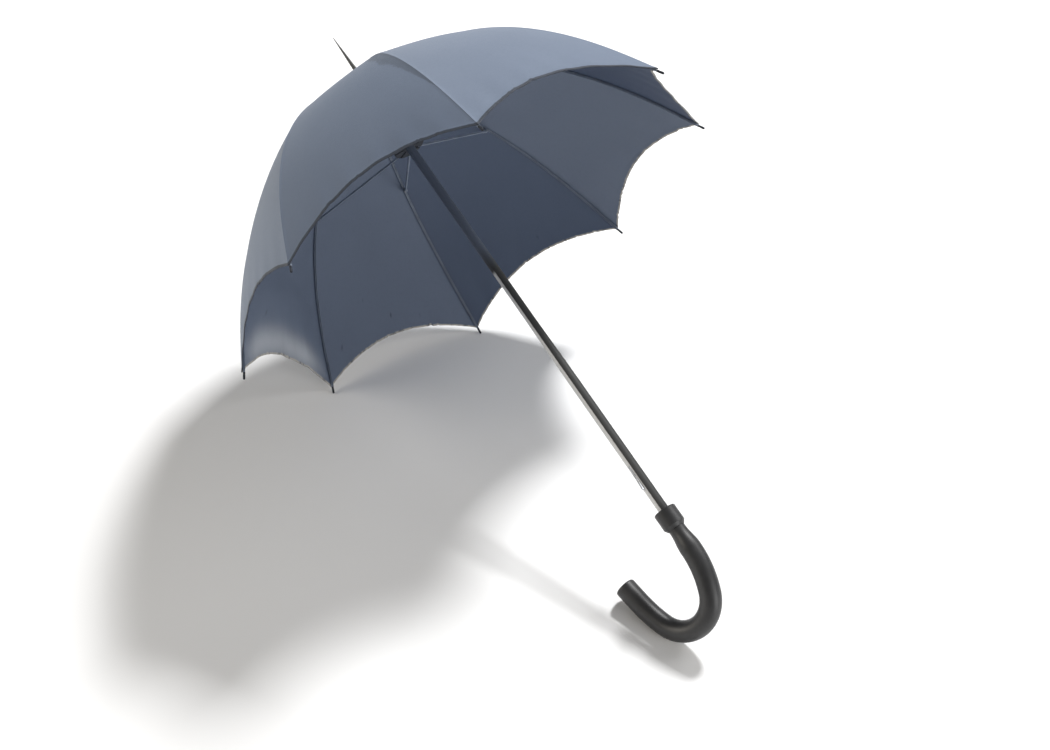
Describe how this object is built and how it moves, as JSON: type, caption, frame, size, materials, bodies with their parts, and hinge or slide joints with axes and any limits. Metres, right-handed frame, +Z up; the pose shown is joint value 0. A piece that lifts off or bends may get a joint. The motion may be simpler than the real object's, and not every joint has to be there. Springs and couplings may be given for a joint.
{
  "type": "umbrella",
  "caption": "Open walking umbrella with a domed eight-sided canopy leaning on a straight shaft, a needle spike and a crook handle, lying on two rib tips and the crook.",
  "frame": {"origin": "middle of the bounding box, at floor level", "axes": "+X along the floor from the crook towards the spike, +Z up from the floor, +Y completes the right-handed frame"},
  "size_m": [0.8786, 0.6552, 0.5993],
  "materials": {
    "canopy_cloth": "worn, plain weave",
    "rib_steel": "dark lacquer",
    "shaft_steel": "satin dark grey",
    "handle_black": "semi-gloss black",
    "fitting_black": "matte black",
    "bright_steel": "plain",
    "spike_steel": "satin dark grey"
  },
  "bodies": {
    "shaft": {"shaft": "shaft_steel", "spike": "spike_steel", "crown_cap": "fitting_black", "crown_notch": "fitting_black", "crown_wire": "bright_steel", "collar": "handle_black", "handle": "handle_black"},
    "runner": {"runner": "fitting_black"},
    "catch": {"catch": "bright_steel"},
    "rib_1": {"rib_1": "rib_steel", "rivet_1": "bright_steel", "tip_1": "rib_steel", "panel_1": "canopy_cloth"},
    "stretcher_1": {"stretcher_1": "rib_steel"},
    "rib_2": {"rib_2": "rib_steel", "rivet_2": "bright_steel", "tip_2": "rib_steel", "panel_2": "canopy_cloth"},
    "stretcher_2": {"stretcher_2": "rib_steel"},
    "rib_3": {"rib_3": "rib_steel", "rivet_3": "bright_steel", "tip_3": "rib_steel", "panel_3": "canopy_cloth"},
    "stretcher_3": {"stretcher_3": "rib_steel"},
    "rib_4": {"rib_4": "rib_steel", "rivet_4": "bright_steel", "tip_4": "rib_steel", "panel_4": "canopy_cloth"},
    "stretcher_4": {"stretcher_4": "rib_steel"},
    "rib_5": {"rib_5": "rib_steel", "rivet_5": "bright_steel", "tip_5": "rib_steel", "panel_5": "canopy_cloth"},
    "stretcher_5": {"stretcher_5": "rib_steel"},
    "rib_6": {"rib_6": "rib_steel", "rivet_6": "bright_steel", "tip_6": "rib_steel", "panel_6": "canopy_cloth"},
    "stretcher_6": {"stretcher_6": "rib_steel"},
    "rib_7": {"rib_7": "rib_steel", "rivet_7": "bright_steel", "tip_7": "rib_steel", "panel_7": "canopy_cloth"},
    "stretcher_7": {"stretcher_7": "rib_steel"},
    "rib_8": {"rib_8": "rib_steel", "rivet_8": "bright_steel", "tip_8": "rib_steel", "panel_8": "canopy_cloth"},
    "stretcher_8": {"stretcher_8": "rib_steel"}
  },
  "joints": [
    {"name": "runner_slide", "type": "slide", "parent": "shaft", "child": "runner", "axis": [-0.928, 0, -0.3725], "range_m": [0, 0.2631]},
    {"name": "rib_1_hinge", "type": "hinge", "parent": "shaft", "child": "rib_1", "pos_m": [0.34103, 0.01201, 0.39476], "axis": [-0.3435, 0.3869, 0.8558], "range_deg": [0, 52], "deforming": ["panel_1"]},
    {"name": "stretcher_1_hinge", "type": "hinge", "parent": "rib_1", "child": "stretcher_1", "pos_m": [0.30938, 0.182, 0.30521], "axis": [0.3435, -0.3869, -0.8558], "range_deg": [0, 114.73]},
    {"name": "rib_2_hinge", "type": "hinge", "parent": "shaft", "child": "rib_2", "pos_m": [0.34364, 0.00494, 0.38826], "axis": [-0.141, 0.9256, 0.3513], "range_deg": [0, 53.16], "deforming": ["panel_2"]},
    {"name": "stretcher_2_hinge", "type": "hinge", "parent": "rib_2", "child": "stretcher_2", "pos_m": [0.35467, 0.07471, 0.20883], "axis": [0.141, -0.9256, -0.3513], "range_deg": [0, 113.7]},
    {"name": "rib_3_hinge", "type": "hinge", "parent": "shaft", "child": "rib_3", "pos_m": [0.34362, -0.005, 0.3883], "axis": [0.1441, 0.9221, -0.359], "range_deg": [0, 52.83], "deforming": ["panel_3"]},
    {"name": "stretcher_3_hinge", "type": "hinge", "parent": "rib_3", "child": "stretcher_3", "pos_m": [0.3528, -0.07632, 0.20882], "axis": [-0.1441, -0.9221, 0.359], "range_deg": [0, 113.99]},
    {"name": "rib_4_hinge", "type": "hinge", "parent": "shaft", "child": "rib_4", "pos_m": [0.34099, -0.01201, 0.39486], "axis": [0.3448, 0.3785, -0.859], "range_deg": [0, 51.23], "deforming": ["panel_4"]},
    {"name": "stretcher_4_hinge", "type": "hinge", "parent": "rib_4", "child": "stretcher_4", "pos_m": [0.30486, -0.18263, 0.30518], "axis": [-0.3448, -0.3785, 0.859], "range_deg": [0, 115.49]},
    {"name": "rib_5_hinge", "type": "hinge", "parent": "shaft", "child": "rib_5", "pos_m": [0.33728, -0.01196, 0.40409], "axis": [0.3435, -0.3869, -0.8558], "range_deg": [0, 49.38], "deforming": ["panel_5"]},
    {"name": "stretcher_5_hinge", "type": "hinge", "parent": "rib_5", "child": "stretcher_5", "pos_m": [0.23894, -0.18195, 0.44147], "axis": [-0.3435, 0.3869, 0.8558], "range_deg": [0, 117.5]},
    {"name": "rib_6_hinge", "type": "hinge", "parent": "shaft", "child": "rib_6", "pos_m": [0.33467, -0.0049, 0.41059], "axis": [0.141, -0.9256, -0.3513], "range_deg": [0, 48.34], "deforming": ["panel_6"]},
    {"name": "stretcher_6_hinge", "type": "hinge", "parent": "rib_6", "child": "stretcher_6", "pos_m": [0.19365, -0.07467, 0.53785], "axis": [-0.141, 0.9256, 0.3513], "range_deg": [0, 118.77]},
    {"name": "rib_7_hinge", "type": "hinge", "parent": "shaft", "child": "rib_7", "pos_m": [0.33469, 0.00505, 0.41055], "axis": [-0.1441, -0.9221, 0.359], "range_deg": [0, 48.63], "deforming": ["panel_7"]},
    {"name": "stretcher_7_hinge", "type": "hinge", "parent": "rib_7", "child": "stretcher_7", "pos_m": [0.19552, 0.07637, 0.53786], "axis": [0.1441, 0.9221, -0.359], "range_deg": [0, 118.41]},
    {"name": "rib_8_hinge", "type": "hinge", "parent": "shaft", "child": "rib_8", "pos_m": [0.33732, 0.01206, 0.40399], "axis": [-0.3448, -0.3785, 0.859], "range_deg": [0, 50.12], "deforming": ["panel_8"]},
    {"name": "stretcher_8_hinge", "type": "hinge", "parent": "rib_8", "child": "stretcher_8", "pos_m": [0.24346, 0.18268, 0.4415], "axis": [0.3448, 0.3785, -0.859], "range_deg": [0, 116.66]},
    {"name": "catch_press", "type": "hinge", "parent": "shaft", "child": "catch", "pos_m": [-0.24914, 0.00608, 0.16415], "axis": [-0.3695, -0.126, 0.9206], "range_deg": [0, 4.5], "stiffness_Nm_per_rad": 0.4}
  ],
  "couplings": [
    {"joint": "rib_1_hinge", "follows": "runner_slide", "rad_per_m": 3.4487},
    {"joint": "stretcher_1_hinge", "follows": "runner_slide", "rad_per_m": 7.6101},
    {"joint": "rib_2_hinge", "follows": "runner_slide", "rad_per_m": 3.5255},
    {"joint": "stretcher_2_hinge", "follows": "runner_slide", "rad_per_m": 7.5415},
    {"joint": "rib_3_hinge", "follows": "runner_slide", "rad_per_m": 3.5035},
    {"joint": "stretcher_3_hinge", "follows": "runner_slide", "rad_per_m": 7.5605},
    {"joint": "rib_4_hinge", "follows": "runner_slide", "rad_per_m": 3.3974},
    {"joint": "stretcher_4_hinge", "follows": "runner_slide", "rad_per_m": 7.6601},
    {"joint": "rib_5_hinge", "follows": "runner_slide", "rad_per_m": 3.275},
    {"joint": "stretcher_5_hinge", "follows": "runner_slide", "rad_per_m": 7.7937},
    {"joint": "rib_6_hinge", "follows": "runner_slide", "rad_per_m": 3.2059},
    {"joint": "stretcher_6_hinge", "follows": "runner_slide", "rad_per_m": 7.8781},
    {"joint": "rib_7_hinge", "follows": "runner_slide", "rad_per_m": 3.2253},
    {"joint": "stretcher_7_hinge", "follows": "runner_slide", "rad_per_m": 7.8537},
    {"joint": "rib_8_hinge", "follows": "runner_slide", "rad_per_m": 3.3237},
    {"joint": "stretcher_8_hinge", "follows": "runner_slide", "rad_per_m": 7.7382}
  ]
}
